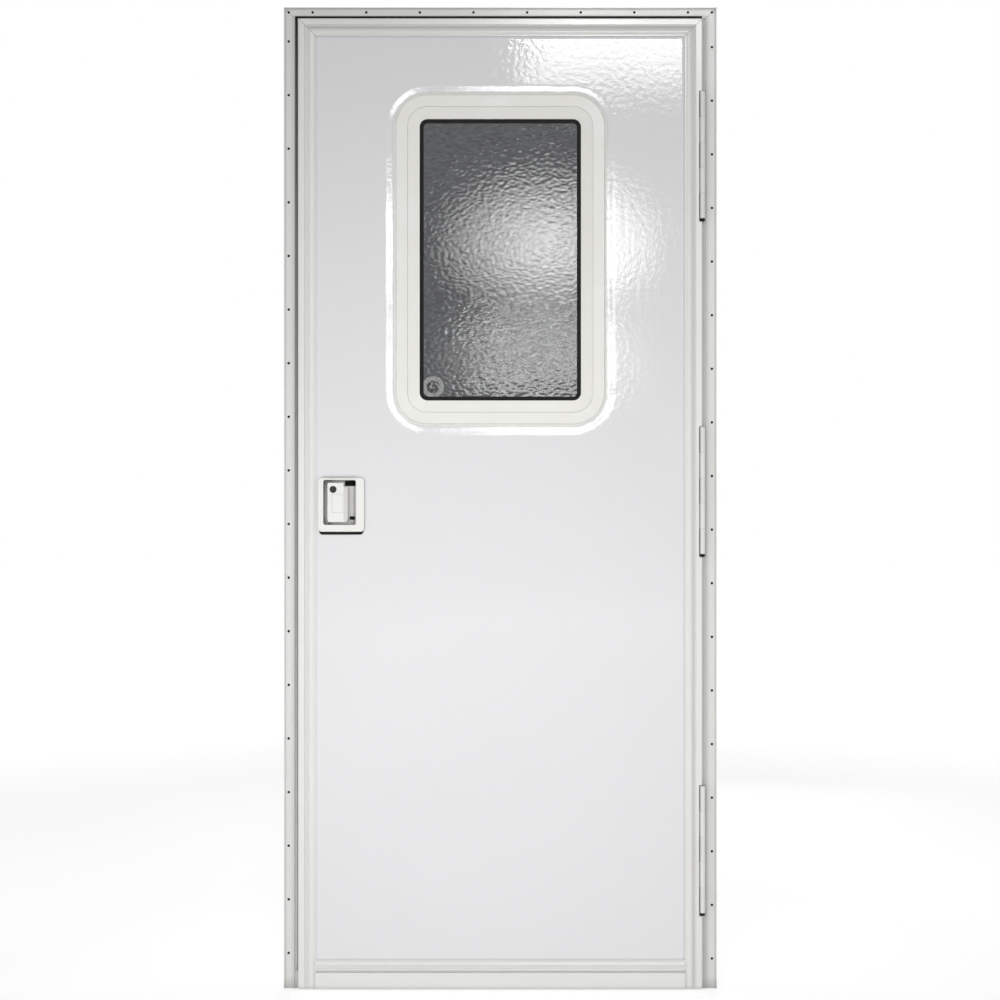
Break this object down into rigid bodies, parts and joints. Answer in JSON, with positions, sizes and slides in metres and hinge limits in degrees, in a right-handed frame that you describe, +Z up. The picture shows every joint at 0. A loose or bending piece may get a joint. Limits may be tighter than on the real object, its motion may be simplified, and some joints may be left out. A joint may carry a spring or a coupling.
{
  "type": "caravan entry door with frame",
  "caption": "Hinged caravan entry door in a screw-flanged frame, with a rounded obscure window and a flush paddle lock; swings outward.",
  "frame": {"origin": "bottom centre of the frame, on the back of the flange, which lies against the wall", "axes": "+X right seen from outside, +Y into the vehicle, +Z up"},
  "size_m": [0.82, 0.0583, 1.858],
  "materials": {
    "frame_paint": "satin off-white paint on aluminium",
    "leaf_paint": "satin off-white paint on aluminium",
    "gel_coat": "glossy cool white gel-coat",
    "inner_sheet": "matt off-white lining",
    "foam_core": "foam and timber core, hidden",
    "window_trim": "satin moulded plastic",
    "obscure_glass": "tinted obscure glass",
    "black_rubber": "matt black rubber",
    "lock_plastic": "semi-gloss white plastic",
    "plated_steel": "zinc plated",
    "key_metal": "dark worn plating"
  },
  "bodies": {
    "frame": {"left_jamb": "frame_paint", "right_jamb": "frame_paint", "head_jamb": "frame_paint", "threshold": "frame_paint", "weather_seal": "black_rubber", "strike_plate": "plated_steel", "hinge_frame_leaf_lower": "frame_paint", "hinge_frame_leaf_middle": "frame_paint", "hinge_frame_leaf_upper": "frame_paint", "hinge_pin_lower": "plated_steel", "hinge_pin_middle": "plated_steel", "hinge_pin_upper": "plated_steel"},
    "leaf": {"left_stile": "leaf_paint", "right_stile": "leaf_paint", "top_rail": "leaf_paint", "bottom_rail": "leaf_paint", "hinge_door_leaf_lower": "leaf_paint", "hinge_door_leaf_middle": "leaf_paint", "hinge_door_leaf_upper": "leaf_paint", "outer_skin": "gel_coat", "inner_skin": "inner_sheet", "core_base": "foam_core", "core_lock_left": "foam_core", "core_lock_right": "foam_core", "core_waist": "foam_core", "core_window_left": "foam_core", "core_window_right": "foam_core", "core_head": "foam_core", "window_outer_ring": "window_trim", "window_inner_ring": "window_trim", "window_glass": "obscure_glass", "window_gasket": "black_rubber", "lock_gasket": "black_rubber", "lock_bezel": "lock_plastic", "lock_inner_plate": "lock_plastic", "release_lever": "lock_plastic", "thumb_turn": "lock_plastic", "lock_case": "plated_steel", "latch_bolt": "plated_steel", "dead_bolt": "plated_steel", "lock_faceplate": "plated_steel", "paddle_pivots": "plated_steel"},
    "handle": {"paddle": "lock_plastic"},
    "key": {"key_cylinder": "key_metal"}
  },
  "joints": [
    {"name": "door_swing", "type": "hinge", "parent": "frame", "child": "leaf", "pos_m": [0.382, -0.011, 0.943], "axis": [0, 0, 1], "range_deg": [0, 180]},
    {"name": "paddle_pull", "type": "hinge", "parent": "leaf", "child": "handle", "pos_m": [-0.323, -0.0115, 0.9205], "axis": [0, 0, -1], "range_deg": [0, 30], "stiffness_Nm_per_rad": 0.3},
    {"name": "key_turn", "type": "hinge", "parent": "handle", "child": "key", "pos_m": [-0.3155, -0.01, 0.945], "axis": [0, 1, 0], "range_deg": [0, 90]}
  ]
}
